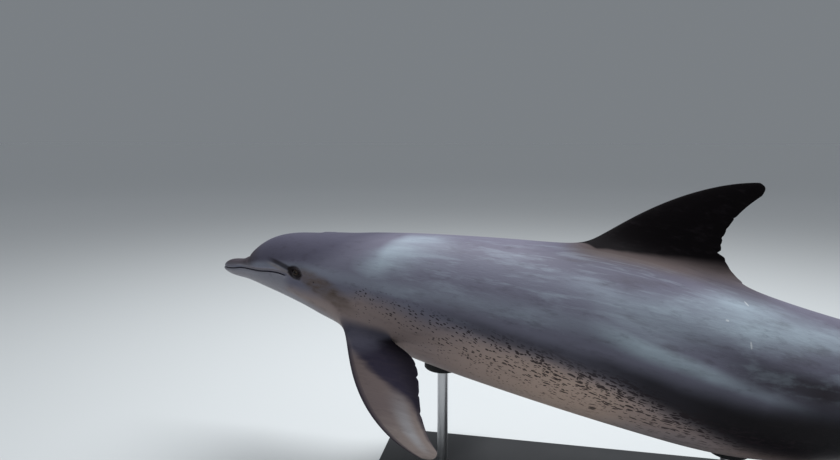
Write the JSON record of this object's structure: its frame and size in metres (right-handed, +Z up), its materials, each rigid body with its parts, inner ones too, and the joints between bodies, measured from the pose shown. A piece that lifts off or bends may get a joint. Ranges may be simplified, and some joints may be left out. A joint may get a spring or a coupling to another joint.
{
  "type": "bottlenose dolphin model on a display stand",
  "caption": "Life-size still model of an adult bottlenose dolphin, nose slightly up and body gently curved, held by two rods on a flat base.",
  "frame": {"origin": "centre of the underside of the stand's base, on the floor", "axes": "+Z up, -X the way the dolphin faces, -Y its left side"},
  "size_m": [2.4095, 0.8002, 0.8265],
  "materials": {
    "head": "smooth satin skin",
    "lower_jaw": "smooth satin skin",
    "chest": "smooth satin skin",
    "trunk": "smooth satin skin",
    "tail_stock": "smooth satin skin",
    "tail_end": "smooth satin skin",
    "dorsal_fin": "smooth satin skin",
    "flipper_left": "smooth satin skin",
    "flipper_right": "smooth satin skin",
    "fluke_left": "smooth satin skin",
    "fluke_right": "smooth satin skin",
    "eye": "wet, glossy and very dark",
    "stand_base": "fine satin black coating",
    "stand_steel": "brushed",
    "stand_saddle": "matte black pad"
  },
  "bodies": {
    "root": {"head": "head", "lower_jaw": "lower_jaw", "chest": "chest", "trunk": "trunk", "tail_stock": "tail_stock", "tail_end": "tail_end", "dorsal_fin": "dorsal_fin", "flipper_left": "flipper_left", "flipper_right": "flipper_right", "fluke_left": "fluke_left", "fluke_right": "fluke_right", "eye_left": "eye", "eye_right": "eye", "stand_base": "stand_base", "stand_rod_front": "stand_steel", "stand_rod_rear": "stand_steel", "stand_flange_front": "stand_steel", "stand_flange_rear": "stand_steel", "stand_saddle_front": "stand_saddle", "stand_saddle_rear": "stand_saddle"}
  },
  "joints": []
}
